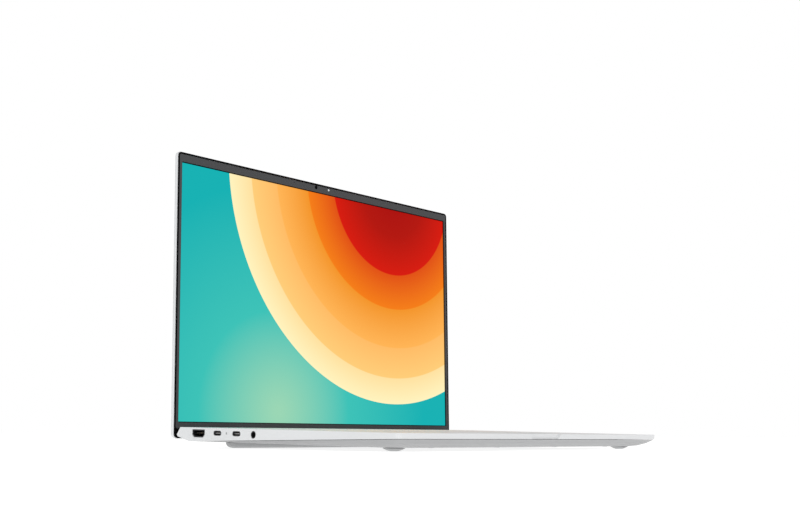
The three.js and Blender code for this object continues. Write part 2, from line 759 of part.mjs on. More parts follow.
function buildBase(base) {
  piece(base, "top_case", topCase(), "shell");
  piece(base, "bottom_cover", bottomCover(), "under");
  piece(base, "keyboard_backplate", backplate(), "steel");
  piece(base, "motherboard", motherboard(), "board");
  piece(base, "battery_pack", batteryPack(), "plastic");
  piece(base, "fan_housing", fanHousing(), "plastic");
  piece(base, "heat_sink", heatSink(), "copper");
  piece(base, "heat_pipe", heatPipe(), "copper");
  piece(base, "ssd", card(SSD), "board");
  piece(base, "wifi_card", card(WIFI), "board");
  piece(base, "hdmi_port", hdmiPort(), "steel");
  piece(base, "audio_jack", audioJack(), "plastic");
  piece(base, "charge_lamp", chargeLamp(), "lamp");
  for (const [place, y] of Object.entries(USB_C_Y)) {
    piece(base, "usb_c_port_" + place, usbCPort(y), "steel");
  }
  for (const [place, y] of Object.entries(USB_A_Y)) {
    piece(base, "usb_a_port_" + place, squareSocket(USB_A, y), "steel");
  }
  piece(base, "card_slot", squareSocket(CARD, CARD.y), "steel");
  piece(base, "lock_plate", lockPlate(), "steel");
  piece(base, "rear_foot", rearFoot(), "foot");
  for (const [name, side] of SIDES) {
    piece(base, "speaker_" + name, speaker(side), "plastic");
    piece(base, "hinge_bracket_" + name, hingeBracket(side), "steel");
    piece(base, "front_foot_" + name, frontFoot(side * FRONT_FOOT.x), "foot");
  }
}

function buildKeys(base) {
  for (const [name, row, start, widths] of KEY_GROUPS) {
    piece(base, name, keyRow(row, start, widths), "key");
  }
  piece(base, "numpad_keys", numpadKeys(), "key");
  piece(base, "numpad_plus_key", lastPadKey(2, 2), "key");
  piece(base, "numpad_enter_key", lastPadKey(4, 2), "key");
  piece(base, "power_button", lastPadKey(0, 1), "key");
  piece(base, "touchpad", touchpad(), "pad");
}

function buildLid(lid) {
  piece(lid, "lid_cover", lidCover(), "shell");
  piece(lid, "screen_bezel", screenBezel(), "bezel");
  piece(lid, "rim_gasket", rimGasket(), "rubber");
  piece(lid, "display_panel", displayPanel(), "screen");
  piece(lid, "camera_module", cameraModule(), "plastic");
  for (const [name, side] of SIDES) {
    piece(lid, "hinge_arm_" + name, hingeArm(side), "steel");
    piece(lid, "hinge_pin_" + name, hingePin(side), "steel");
  }
}

const base = new THREE.Group();
buildBase(base);
buildKeys(base);

const impeller = piece(base, "fan_impeller", fanImpeller(), "plastic");
impeller.position.set(FAN.x, FAN.y, 0);

const lid = new THREE.Group();
buildLid(lid);
lid.position.set(0, HINGE.y, HINGE.z);
lid.rotation.x = Math.PI / 2 - LID_ANGLE;
base.add(lid);

// The feet are taller at the back, so the base leans forward on the table.
base.rotation.x = STANCE;
const laptop = new THREE.Group();
laptop.add(base);
laptop.updateMatrixWorld(true);
const extent = new THREE.Box3().setFromObject(laptop, true);
const middle = extent.getCenter(new THREE.Vector3());
base.position.set(-middle.x, -middle.y, -extent.min.z);

export default laptop;
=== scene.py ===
import json
from math import atan2, cos, pi, radians, sin

import bmesh
import bpy
from mathutils import Matrix, Vector


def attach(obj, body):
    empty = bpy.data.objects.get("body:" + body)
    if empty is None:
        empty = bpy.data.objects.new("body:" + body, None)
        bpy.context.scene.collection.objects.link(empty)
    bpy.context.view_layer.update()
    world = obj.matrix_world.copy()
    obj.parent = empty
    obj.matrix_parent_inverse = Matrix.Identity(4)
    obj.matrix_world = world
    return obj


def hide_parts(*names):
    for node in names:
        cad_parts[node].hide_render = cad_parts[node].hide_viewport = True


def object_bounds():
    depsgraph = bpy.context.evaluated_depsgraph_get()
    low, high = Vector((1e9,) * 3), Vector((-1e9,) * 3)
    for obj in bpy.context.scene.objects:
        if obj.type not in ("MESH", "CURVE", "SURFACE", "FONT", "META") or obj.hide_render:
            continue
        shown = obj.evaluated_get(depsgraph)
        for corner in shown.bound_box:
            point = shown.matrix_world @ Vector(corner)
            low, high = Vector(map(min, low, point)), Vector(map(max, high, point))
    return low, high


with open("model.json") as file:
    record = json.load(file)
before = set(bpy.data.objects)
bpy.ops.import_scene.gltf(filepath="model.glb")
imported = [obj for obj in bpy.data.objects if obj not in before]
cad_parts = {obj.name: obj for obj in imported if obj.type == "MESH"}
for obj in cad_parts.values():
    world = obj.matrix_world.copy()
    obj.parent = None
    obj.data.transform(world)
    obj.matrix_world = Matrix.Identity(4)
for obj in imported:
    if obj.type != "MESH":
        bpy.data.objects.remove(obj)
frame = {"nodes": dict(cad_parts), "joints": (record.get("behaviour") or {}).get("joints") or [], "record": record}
cad_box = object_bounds()
joints = {joint["name"]: joint for joint in frame["joints"]}
mounts = {mount["name"]: mount for mount in frame["record"]["mounts"]}
mm = 0.001


# ---- Camera ---------------------------------------------------------------------------------
# A low view from the front left corner, a finger's width above the table, with the picture
# plane slid up so that the screen's sides stay nearly upright.

camera_turn = radians(50.6)
camera_pitch = radians(6.366)
camera_roll = radians(0.368)
camera_left = 0.5987
camera_front = 0.5254
camera_above = 0.0123
camera_data = bpy.data.cameras.new("camera")
camera_data.lens = 52.577
camera_data.sensor_width = 36
camera_data.shift_x = -0.047
camera_data.shift_y = 0.0475
camera_data.clip_start = 0.01
camera = bpy.data.objects.new("camera", camera_data)
camera.location = (cad_box[0][0] - camera_left, cad_box[0][1] - camera_front, camera_above)
camera.rotation_euler = (
    Matrix.Rotation(-camera_turn, 3, "Z")
    @ Matrix.Rotation(pi / 2 + camera_pitch, 3, "X")
    @ Matrix.Rotation(camera_roll, 3, "Z")
).to_euler()
bpy.context.scene.collection.objects.link(camera)
bpy.context.scene.camera = camera


# ---- Studio ---------------------------------------------------------------------------------
# A white cove: a surround that is pure white to the eye and a little dimmer as a light, a
# glowing floor that carries only a faint shadow, and two large soft lights.

bpy.context.scene.view_settings.view_transform = "Standard"

surround_as_light = 0.6
surround = bpy.data.worlds.new("surround")
surround.use_nodes = True
surround_light = surround.node_tree.nodes["Background"]
surround_light.inputs["Color"].default_value = (1, 1, 1, 1)
seen_directly = surround.node_tree.nodes.new("ShaderNodeLightPath")
seen_directly.location = (-500, 0)
brightness = surround.node_tree.nodes.new("ShaderNodeMath")
brightness.label = "0.6 as a light, 1 to the eye"
brightness.operation = "MULTIPLY_ADD"
brightness.inputs[1].default_value = 1 - surround_as_light
brightness.inputs[2].default_value = surround_as_light
brightness.location = (-250, 0)
surround.node_tree.links.new(seen_directly.outputs["Is Camera Ray"], brightness.inputs[0])
surround.node_tree.links.new(brightness.outputs["Value"], surround_light.inputs["Strength"])
bpy.context.scene.world = surround

floor_half = 6.0
floor_level = -0.2 * mm
floor_mesh = bpy.data.meshes.new("floor")
floor_quarters = ((-1, -1), (1, -1), (1, 1), (-1, 1))
floor_corners = [(x * floor_half, y * floor_half, floor_level) for x, y in floor_quarters]
floor_mesh.from_pydata(floor_corners, [], [(0, 1, 2, 3)])
floor = bpy.data.objects.new("floor", floor_mesh)
bpy.context.scene.collection.objects.link(floor)

floor_paint = bpy.data.materials.new("floor_paint")
floor_paint.use_nodes = True
floor_shader = floor_paint.node_tree.nodes["Principled BSDF"]
floor_shader.inputs["Base Color"].default_value = (0.5, 0.5, 0.5, 1)
floor_shader.inputs["Roughness"].default_value = 1
floor_shader.inputs["Specular IOR Level"].default_value = 0
floor_shader.inputs["Emission Color"].default_value = (1, 1, 1, 1)
floor_shader.inputs["Emission Strength"].default_value = 0.73
floor_mesh.materials.append(floor_paint)

lamp_target = Vector((0, 0, 0.1))
for lamp_name, lamp_place, lamp_size, lamp_watts in (
    ("key_light", (-1.6, -1.4, 1.5), 1.6, 16),
    ("top_light", (0.9, -0.4, 1.9), 1.8, 8),
):
    lamp = bpy.data.lights.new(lamp_name, "AREA")
    lamp.size = lamp_size
    lamp.energy = lamp_watts
    lamp_object = bpy.data.objects.new(lamp_name, lamp)
    lamp_object.location = lamp_place
    beam = lamp_target - Vector(lamp_place)
    lamp_object.rotation_euler = beam.to_track_quat("-Z", "Y").to_euler()
    bpy.context.scene.collection.objects.link(lamp_object)


# ---- Places on the laptop -------------------------------------------------------------------
# The deck leans forward on its taller rear foot, and the lid stands on the hinge line. Pieces
# are drawn flat, in millimetres, and then set into one of these two places.

hinge = Vector(joints["lid_hinge"]["pos_m"])
press = joints["space_bar_press"]["axis"]
lean = atan2(press[1], -press[2])
lid_back = mounts["lid_back"]["axis"]
lid_lean = atan2(lid_back[2], lid_back[1])
hinge_on_deck = Vector((0, 234.85 * mm, -5.85 * mm))
deck_place = Matrix.Translation(hinge) @ Matrix.Rotation(lean, 4, "X") @ Matrix.Translation(-hinge_on_deck)
lid_place = Matrix.Translation(hinge) @ Matrix.Rotation(lid_lean, 4, "X")


# ---- Case shells ----------------------------------------------------------------------------
# The top case, lid cover and bottom cover are pressed and milled magnesium alloy sheet, all
# sprayed white; the bottom cover's white is darkened to grey as painted shade for a face that
# looks down. Edges are broken by a small round under satin paint.

weld_gap = 0.02 * mm
crease = radians(32)


def painted_alloy(name, colour, tooth):
    material = bpy.data.materials.new(name)
    material.use_nodes = True
    nodes = material.node_tree.nodes
    links = material.node_tree.links
    nodes.clear()

    place = nodes.new("ShaderNodeTexCoord")
    place.label = "place on the laptop"
    drift = nodes.new("ShaderNodeTexNoise")
    drift.label = "slow drift of the spray coat"
    drift.inputs["Scale"].default_value = 14
    drift.inputs["Detail"].default_value = 3
    shade = nodes.new("ShaderNodeValToRGB")
    shade.label = "thin and full coat"
    shade.color_ramp.elements[0].position = 0.3
    shade.color_ramp.elements[0].color = [c * 0.97 for c in colour] + [1]
    shade.color_ramp.elements[1].position = 0.7
    shade.color_ramp.elements[1].color = list(colour) + [1]
    grain = nodes.new("ShaderNodeTexNoise")
    grain.label = "satin tooth of the paint"
    grain.inputs["Scale"].default_value = 2600
    grain.inputs["Detail"].default_value = 2
    polish = nodes.new("ShaderNodeMapRange")
    polish.label = "roughness where hands rub"
    polish.inputs["To Min"].default_value = 0.40
    polish.inputs["To Max"].default_value = 0.52
    relief = nodes.new("ShaderNodeBump")
    relief.label = "height of the tooth"
    relief.inputs["Strength"].default_value = tooth
    relief.inputs["Distance"].default_value = 0.00003
    shader = nodes.new("ShaderNodeBsdfPrincipled")
    shader.label = "sprayed alloy"
    shader.inputs["Metallic"].default_value = 0.05
    shader.inputs["Coat Weight"].default_value = 0.3
    shader.inputs["Coat Roughness"].default_value = 0.2
    output = nodes.new("ShaderNodeOutputMaterial")
    output.label = "paint"

    colour_frame = nodes.new("NodeFrame")
    colour_frame.label = "colour"
    drift.parent = colour_frame
    shade.parent = colour_frame
    surface_frame = nodes.new("NodeFrame")
    surface_frame.label = "surface"
    grain.parent = surface_frame
    polish.parent = surface_frame
    relief.parent = surface_frame
    for column, node in enumerate((place, drift, shade, grain, polish, relief, shader, output)):
        node.location = (column * 220, -120 * (column % 3))

    links.new(place.outputs["Object"], drift.inputs["Vector"])
    links.new(drift.outputs["Fac"], shade.inputs["Fac"])
    links.new(shade.outputs["Color"], shader.inputs["Base Color"])
    links.new(place.outputs["Object"], grain.inputs["Vector"])
    links.new(drift.outputs["Fac"], polish.inputs["Value"])
    links.new(polish.outputs["Result"], shader.inputs["Roughness"])
    links.new(grain.outputs["Fac"], relief.inputs["Height"])
    links.new(relief.outputs["Normal"], shader.inputs["Normal"])
    links.new(shader.outputs["BSDF"], output.inputs["Surface"])
    return material


white_paint = painted_alloy("white_paint", (0.77, 0.78, 0.79), 0.25)
# Painted shade: the bottom cover is white like the top, and this grey stands in for the shade on its downward
# face.
underside_painted_shade = painted_alloy("underside_painted_shade", (0.36, 0.365, 0.37), 0.3)


def broken_edges(node, body, material, width, steps=2):
    """The machined solid of one node with its sharp edges rounded, standing in for that node."""
    mesh = frame["nodes"][node].data.copy()
    mesh.name = "edged_" + node
    cage = bmesh.new()
    cage.from_mesh(mesh)
    bmesh.ops.remove_doubles(cage, verts=cage.verts, dist=weld_gap)
    bmesh.ops.dissolve_limit(cage, angle_limit=radians(0.6), verts=cage.verts, edges=cage.edges)
    cage.to_mesh(mesh)
    cage.free()
    mesh.materials.clear()
    mesh.materials.append(material)
    mesh.shade_smooth()
    mesh.set_sharp_from_angle(angle=crease)
    piece = bpy.data.objects.new("edged_" + node, mesh)
    bpy.context.scene.collection.objects.link(piece)
    rounding = piece.modifiers.new("broken edges", "BEVEL")
    rounding.width = width
    rounding.segments = steps
    rounding.limit_method = "ANGLE"
    rounding.angle_limit = radians(35)
    rounding.use_clamp_overlap = True
    rounding.harden_normals = True
    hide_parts(node)
    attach(piece, body)


broken_edges("top_case", "base", white_paint, 0.3 * mm)
broken_edges("bottom_cover", "base", underside_painted_shade, 0.25 * mm)
broken_edges("lid_cover", "lid", white_paint, 0.25 * mm)


# ---- Keyboard -------------------------------------------------------------------------------
# White moulded caps, each with rounded corners and a rounded rim, over a white web of the case
# that fills the gaps between them. Legends are thin pad-printed grey ink.


def moulded_plastic(name, colour, rough, grain_scale, relief_depth, shine=0.4):
    material = bpy.data.materials.new(name)
    material.use_nodes = True
    nodes = material.node_tree.nodes
    links = material.node_tree.links
    nodes.clear()

    place = nodes.new("ShaderNodeTexCoord")
    place.label = "place on the laptop"
    grain = nodes.new("ShaderNodeTexNoise")
    grain.label = "spark-eroded grain of the mould"
    grain.inputs["Scale"].default_value = grain_scale
    grain.inputs["Detail"].default_value = 3
    grain.inputs["Roughness"].default_value = 0.6
    tint = nodes.new("ShaderNodeValToRGB")
    tint.label = "grain shows a little in the colour"
    tint.color_ramp.elements[0].position = 0.35
    tint.color_ramp.elements[0].color = [c * 0.9 for c in colour] + [1]
    tint.color_ramp.elements[1].position = 0.65
    tint.color_ramp.elements[1].color = list(colour) + [1]
    polish = nodes.new("ShaderNodeMapRange")
    polish.label = "roughness over the grain"
    polish.inputs["To Min"].default_value = rough - 0.06
    polish.inputs["To Max"].default_value = rough + 0.06
    relief = nodes.new("ShaderNodeBump")
    relief.label = "depth of the grain"
    relief.inputs["Strength"].default_value = 0.35
    relief.inputs["Distance"].default_value = relief_depth
    shader = nodes.new("ShaderNodeBsdfPrincipled")
    shader.label = "moulded plastic"
    shader.inputs["Specular IOR Level"].default_value = shine
    output = nodes.new("ShaderNodeOutputMaterial")
    output.label = "plastic"

    surface_frame = nodes.new("NodeFrame")
    surface_frame.label = "mould grain"
    for node in (grain, tint, polish, relief):
        node.parent = surface_frame
    for column, node in enumerate((place, grain, tint, polish, relief, shader, output)):
        node.location = (column * 220, -110 * (column % 3))

    links.new(place.outputs["Object"], grain.inputs["Vector"])
    links.new(grain.outputs["Fac"], tint.inputs["Fac"])
    links.new(grain.outputs["Fac"], polish.inputs["Value"])
    links.new(grain.outputs["Fac"], relief.inputs["Height"])
    links.new(tint.outputs["Color"], shader.inputs["Base Color"])
    links.new(polish.outputs["Result"], shader.inputs["Roughness"])
    links.new(relief.outputs["Normal"], shader.inputs["Normal"])
    links.new(shader.outputs["BSDF"], output.inputs["Surface"])
    return material


key_plastic = moulded_plastic("key_plastic", (0.80, 0.80, 0.80), 0.5, 3200, 0.00002)

# Printed grey, one flat film of ink with a little mottling from the pad.
ink = moulded_plastic("legend_ink", (0.16, 0.17, 0.18), 0.55, 900, 0.00001)


cap_top_above = -0.2 * mm
row_step = 4 * mm


def key_tops(node):
    """Flat tops of the caps on one node, seen from above the deck: (x0, x1, y0, y1), rear row first."""
    cage = bmesh.new()
    cage.from_mesh(frame["nodes"][node].data)
    cage.transform(deck_place.inverted())
    bmesh.ops.remove_doubles(cage, verts=cage.verts, dist=weld_gap)
    level = [face for face in cage.faces if face.normal.z > 0.99]
    top = {face for face in level if face.calc_center_median().z > cap_top_above}
    tops = []
    while top:
        island = [top.pop()]
        for face in island:
            linked = {other for edge in face.edges for other in edge.link_faces} & top
            top -= linked
            island.extend(linked)
        xs = [vertex.co.x for face in island for vertex in face.verts]
        ys = [vertex.co.y for face in island for vertex in face.verts]
        tops.append((min(xs), max(xs), min(ys), max(ys)))
    cage.free()
    return sorted(tops, key=lambda t: (-round(t[3] / row_step), t[0]))


def set_in_place(mesh, place):
    mesh.transform(place)
    mesh.update()


cap_depth = 2.2 * mm
cap_corner = 1.3 * mm
cap_rim = 0.32 * mm


def key_caps(node, body, tops, material):
    """A box for each cap, with its upright edges marked to become round corners and its rim rounded."""
    cage = bmesh.new()
    upright = cage.edges.layers.float.new("bevel_weight_edge")
    for x0, x1, y0, y1 in tops:
        outline = ((x0, y0), (x1, y0), (x1, y1), (x0, y1))
        low = [cage.verts.new((x, y, -cap_depth)) for x, y in outline]
        high = [cage.verts.new((v.co.x, v.co.y, 0)) for v in low]
        cage.faces.new(high)
        cage.faces.new(low[::-1])
        for i in range(4):
            j = (i + 1) % 4
            cage.faces.new((low[i], low[j], high[j], high[i]))
            cage.edges.get((low[i], high[i]))[upright] = 1
    mesh = bpy.data.meshes.new("caps_" + node)
    cage.to_mesh(mesh)
    cage.free()
    mesh.materials.append(material)
    mesh.shade_smooth()
    set_in_place(mesh, deck_place)
    piece = bpy.data.objects.new("caps_" + node, mesh)
    bpy.context.scene.collection.objects.link(piece)
    corners = piece.modifiers.new("round corners", "BEVEL")
    corners.limit_method = "WEIGHT"
    corners.width = cap_corner
    corners.segments = 4
    rim = piece.modifiers.new("round rim", "BEVEL")
    rim.limit_method = "ANGLE"
    rim.angle_limit = radians(60)
    rim.width = cap_rim
    rim.segments = 2
    rim.harden_normals = True
    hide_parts(node)
    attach(piece, body)


key_words = {
    "escape_key": ["Esc"],
    "function_row_keys": ["F%d" % number for number in range(1, 13)] + ["PrtSc", "Del"],
    "number_row_keys": list("`1234567890-="),
    "backspace_key": ["Back"],
    "tab_key": ["Tab"],
    "upper_letter_keys": list("QWERTYUIOP[]\\"),
    "caps_lock_key": ["Caps"],
    "home_letter_keys": list("ASDFGHJKL;'"),
    "enter_key": ["Enter"],
    "left_shift_key": ["Shift"],
    "lower_letter_keys": list("ZXCVBNM,./"),
    "right_shift_key": ["Shift"],
    "arrow_up_key": ["up"],
    "left_modifier_keys": ["Ctrl", "Fn", "ring", "Alt"],
    "space_bar": [""],
    "right_modifier_keys": ["Alt", "Ctrl"],
    "arrow_left_key": ["left"],
    "arrow_down_key": ["down"],
    "arrow_right_key": ["right"],
    "numpad_keys": ["Home", "PgUp", "PgDn", "Num", "/", "*", "-"] + list("789456123") + ["0", "."],
    "numpad_plus_key": ["+"],
    "numpad_enter_key": ["Enter"],
    "power_button": ["power"],
}
arrow_turns = {"up": 0, "left": 90, "down": 180, "right": 270}
arrow_reach = 1.1 * mm
ring_outer = 1.5 * mm
ring_inner = 1.15 * mm
ring_steps = 24
stroke_half = 0.18 * mm
stroke_foot = 0.2 * mm
stroke_head = 1.9 * mm
print_height = 0.03 * mm

# Sizes of the type, and how far its capitals rise from their foot as a share of its size.
letter_size = 4.3 * mm
word_size = 2.9 * mm
capital_share = 0.72
half_capital_share = 0.33
legend_from_left = 2.2 * mm
legend_from_rear = 1.9 * mm
shallow_cap = 10 * mm


def printed_word(word, size):
    """A word as a flat mesh whose lower left corner is at the origin."""
    text = bpy.data.curves.new("word", "FONT")
    text.body = word
    text.size = size
    text.resolution_u = 3
    holder = bpy.data.objects.new("word", text)
    bpy.context.scene.collection.objects.link(holder)
    bpy.context.view_layer.update()
    filled = holder.evaluated_get(bpy.context.evaluated_depsgraph_get())
    mesh = bpy.data.meshes.new_from_object(filled)
    bpy.data.objects.remove(holder)
    return mesh


def arrow_sign(turn):
    """A small solid triangle, turned to its direction."""
    mesh = bpy.data.meshes.new("arrow")
    corners = [radians(turn + 90 + k * 120) for k in range(3)]
    points = [(arrow_reach * cos(a), arrow_reach * sin(a), 0) for a in corners]
    mesh.from_pydata(points, [], [(0, 1, 2)])
    return mesh


def ring_sign(start, sweep, stem):
    """A thin ring, open over the stretch that sweep leaves, with or without an upright stroke."""
    turns = [radians(start + sweep * k / ring_steps) for k in range(ring_steps + 1)]
    points = [(r * cos(a), r * sin(a), 0) for a in turns for r in (ring_outer, ring_inner)]
    faces = [(2 * k, 2 * k + 2, 2 * k + 3, 2 * k + 1) for k in range(ring_steps)]
    if stem:
        count = len(points)
        points += [(-stroke_half, stroke_foot, 0), (stroke_half, stroke_foot, 0)]
        points += [(stroke_half, stroke_head, 0), (-stroke_half, stroke_head, 0)]
        faces.append((count, count + 1, count + 2, count + 3))
    mesh = bpy.data.meshes.new("ring")
    mesh.from_pydata(points, [], faces)
    return mesh


def legend(word, top):
    """One key's legend as a mesh on its cap: signs, and words on shallow caps, stand in the middle,
    and the other words near the rear left corner."""
    x0, x1, y0, y1 = top
    middle = ((x0 + x1) / 2, (y0 + y1) / 2)
    spot = middle
    if word in arrow_turns:
        mesh = arrow_sign(arrow_turns[word])
    elif word == "ring":
        mesh = ring_sign(0, 360, False)
    elif word == "power":
        mesh = ring_sign(120, 300, True)
        spot = (middle[0], middle[1] - stroke_foot)
    else:
        size = letter_size if len(word) == 1 else word_size
        mesh = printed_word(word, size)
        if y1 - y0 < shallow_cap:
            width = max(v.co.x for v in mesh.vertices)
            spot = (middle[0] - width / 2, middle[1] - size * half_capital_share)
        else:
            spot = (x0 + legend_from_left, y1 - legend_from_rear - size * capital_share)
    mesh.transform(Matrix.Translation((spot[0], spot[1], print_height)))
    return mesh


def print_legends(node, body, words, tops):
    cage = bmesh.new()
    for word, top in zip(words, tops):
        if word:
            mesh = legend(word, top)
            cage.from_mesh(mesh)
            bpy.data.meshes.remove(mesh)
    mesh = bpy.data.meshes.new("legend_" + node)
    cage.to_mesh(mesh)
    cage.free()
    mesh.materials.clear()
    mesh.materials.append(ink)
    set_in_place(mesh, deck_place)
    piece = bpy.data.objects.new("legend_" + node, mesh)
    bpy.context.scene.collection.objects.link(piece)
    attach(piece, body)


all_tops = []
for node, words in key_words.items():
    tops = key_tops(node)
    assert len(tops) == len(words), (node, len(tops), len(words))
    all_tops += tops
    key_caps(node, node, tops, key_plastic)
    if any(words):
        print_legends(node, node, words, tops)

# The web between the caps: one flat sheet with a rounded window for each cap.
web_top = -0.55 * mm
web_half = 0.3 * mm
web_round = 0.12 * mm
web_margin = 2.25 * mm
web_corner = 2 * mm
window_gap = 0.45 * mm
window_corner = 1.5 * mm
window_steps = 4


def window_outline(curve, x0, x1, y0, y1, radius):
    """A rectangle with round corners, as one closed outline of the curve."""
    points = []
    right, left = x1 - radius, x0 + radius
    rear, front = y1 - radius, y0 + radius
    for quarter, (x, y) in enumerate(((right, front), (right, rear), (left, rear), (left, front))):
        for step in range(window_steps + 1):
            turn = (quarter - 1 + step / window_steps) * pi / 2
            points.append((x + radius * cos(turn), y + radius * sin(turn), 0, 1))
    spline = curve.splines.new("POLY")
    spline.points.add(len(points) - 1)
    for point, place in zip(spline.points, points):
        point.co = place
    spline.use_cyclic_u = True


web_curve = bpy.data.curves.new("key_web", "CURVE")
web_curve.dimensions = "2D"
web_curve.fill_mode = "BOTH"
web_curve.extrude = web_half
web_curve.bevel_depth = web_round
web_curve.bevel_resolution = 1
web_curve.offset = -web_round
window_outline(
    web_curve,
    min(t[0] for t in all_tops) - web_margin,
    max(t[1] for t in all_tops) + web_margin,
    min(t[2] for t in all_tops) - web_margin,
    max(t[3] for t in all_tops) + web_margin,
    web_corner,
)
for x0, x1, y0, y1 in all_tops:
    sides = (x0 - window_gap, x1 + window_gap, y0 - window_gap, y1 + window_gap)
    window_outline(web_curve, *sides, window_corner)
web_holder = bpy.data.objects.new("key_web_curve", web_curve)
bpy.context.scene.collection.objects.link(web_holder)
bpy.context.view_layer.update()
web_filled = web_holder.evaluated_get(bpy.context.evaluated_depsgraph_get())
web_mesh = bpy.data.meshes.new_from_object(web_filled)
bpy.data.objects.remove(web_holder)
web_mesh.name = "key_web"
web_mesh.transform(Matrix.Translation((0, 0, web_top - web_half - web_round)))
set_in_place(web_mesh, deck_place)
web_mesh.materials.clear()
web_mesh.materials.append(white_paint)
key_web = bpy.data.objects.new("key_web", web_mesh)
bpy.context.scene.collection.objects.link(key_web)
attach(key_web, "base")


# ---- Touchpad -------------------------------------------------------------------------------
# A pane of frosted glass, white behind, with a finely ground edge.

pad_glass = moulded_plastic("pad_glass", (0.76, 0.77, 0.78), 0.34, 5000, 0.00001)
broken_edges("touchpad", "touchpad", pad_glass, 0.18 * mm)


# ---- Screen ---------------------------------------------------------------------------------
# A lit panel behind a matt film. It shows a plain wallpaper: a teal ground with concentric
# discs of cream, amber, orange and red in its upper right corner.

screen_width = 344.7 * mm
screen_height = 215.4 * mm
screen_foot = 10.55 * mm
glow_middle = (110 * mm, 0, 10 * mm)
glow_reach = 200 * mm
rings_middle = (265 * mm, 0, 235 * mm)
rings_radius = 215 * mm

screen = bpy.data.materials.new("lit_screen")
screen.use_nodes = True
nodes = screen.node_tree.nodes
links = screen.node_tree.links
nodes.clear()

# Metres from the lit area's lower left corner: x across, z up.
place = nodes.new("ShaderNodeTexCoord")
place.label = "place on the laptop"
flat = nodes.new("ShaderNodeMapping")
flat.label = "lit corner to the origin"
flat.vector_type = "TEXTURE"
flat.inputs["Location"].default_value = lid_place @ Vector((-screen_width / 2, 0, screen_foot))
flat.inputs["Rotation"].default_value = (lid_lean, 0, 0)
links.new(place.outputs["Object"], flat.inputs["Vector"])

# The lit area is a rectangle; the panel's border outside it stays black.
from_middle = nodes.new("ShaderNodeVectorMath")
from_middle.label = "from the lit area's middle"
from_middle.operation = "SUBTRACT"
from_middle.inputs[1].default_value = (screen_width / 2, 0, screen_height / 2)
reach = nodes.new("ShaderNodeVectorMath")
reach.label = "reach from the middle"
reach.operation = "ABSOLUTE"
past_edge = nodes.new("ShaderNodeVectorMath")
past_edge.label = "reach past the lit edge"
past_edge.operation = "SUBTRACT"
past_edge.inputs[1].default_value = (screen_width / 2, 1, screen_height / 2)
edge_sides = nodes.new("ShaderNodeSeparateXYZ")
edge_sides.label = "past each edge"
furthest = nodes.new("ShaderNodeMath")
furthest.label = "past either edge"
furthest.operation = "MAXIMUM"
lit = nodes.new("ShaderNodeMath")
lit.label = "inside the lit area"
lit.operation = "LESS_THAN"
lit.inputs[1].default_value = 0
links.new(flat.outputs["Vector"], from_middle.inputs[0])
links.new(from_middle.outputs["Vector"], reach.inputs[0])
links.new(reach.outputs["Vector"], past_edge.inputs[0])
links.new(past_edge.outputs["Vector"], edge_sides.inputs["Vector"])
links.new(edge_sides.outputs["X"], furthest.inputs[0])
links.new(edge_sides.outputs["Z"], furthest.inputs[1])
links.new(furthest.outputs["Value"], lit.inputs[0])
lit_frame = nodes.new("NodeFrame")
lit_frame.label = "lit area"
for node in (from_middle, reach, past_edge, edge_sides, furthest, lit):
    node.parent = lit_frame

# Ground: teal, with a soft green glow low on the left.
glow_far = nodes.new("ShaderNodeVectorMath")
glow_far.label = "distance from the glow"
glow_far.operation = "DISTANCE"
glow_far.inputs[1].default_value = glow_middle
glow_range = nodes.new("ShaderNodeMapRange")
glow_range.label = "glow dies away"
glow_range.inputs["From Max"].default_value = glow_reach
ground = nodes.new("ShaderNodeValToRGB")
ground.label = "green to teal to deep teal"
ground.color_ramp.elements[0].color = (0.347, 0.687, 0.456, 1)
ground.color_ramp.elements[1].color = (0.0044, 0.44, 0.45, 1)
ground.color_ramp.elements.new(0.45).color = (0.0437, 0.539, 0.474, 1)
links.new(flat.outputs["Vector"], glow_far.inputs[0])
links.new(glow_far.outputs["Value"], glow_range.inputs["Value"])
links.new(glow_range.outputs["Result"], ground.inputs["Fac"])
ground_frame = nodes.new("NodeFrame")
ground_frame.label = "ground"
for node in (glow_far, glow_range, ground):
    node.parent = ground_frame

# Rings: plain discs laid one on another, each a little darker where the next one covers it.
rings_far = nodes.new("ShaderNodeVectorMath")
rings_far.label = "distance from the rings' middle"
rings_far.operation = "DISTANCE"
rings_far.inputs[1].default_value = rings_middle
rings_range = nodes.new("ShaderNodeMapRange")
rings_range.label = "middle to the outermost edge"
rings_range.inputs["From Max"].default_value = rings_radius
rings = nodes.new("ShaderNodeValToRGB")
rings.label = "red, orange, amber and cream discs"
rings.color_ramp.elements[0].color = (0.376, 0.0, 0.0, 1)
rings.color_ramp.elements[1].color = (1.0, 0.896, 0.515, 1)
for start, end, inner, outer in (
    (0.22, 0.40, (0.45, 0.004, 0.0, 1), (0.68, 0.007, 0.0, 1)),
    (0.401, 0.56, (0.752, 0.08, 0.003, 1), (0.913, 0.205, 0.005, 1)),
    (0.561, 0.74, (0.9, 0.3, 0.02, 1), (1.0, 0.46, 0.09, 1)),
    (0.741, 0.88, (1.0, 0.5, 0.13, 1), (1.0, 0.61, 0.188, 1)),
):
    rings.color_ramp.elements.new(start).color = inner
    rings.color_ramp.elements.new(end).color = outer
rings.color_ramp.elements.new(0.881).color = (1.0, 0.75, 0.35, 1)
in_rings = nodes.new("ShaderNodeMath")
in_rings.label = "inside the outermost edge"
in_rings.operation = "LESS_THAN"
in_rings.inputs[1].default_value = rings_radius
links.new(flat.outputs["Vector"], rings_far.inputs[0])
links.new(rings_far.outputs["Value"], rings_range.inputs["Value"])
links.new(rings_range.outputs["Result"], rings.inputs["Fac"])
links.new(rings_far.outputs["Value"], in_rings.inputs[0])
rings_frame = nodes.new("NodeFrame")
rings_frame.label = "rings"
for node in (rings_far, rings_range, rings, in_rings):
    node.parent = rings_frame

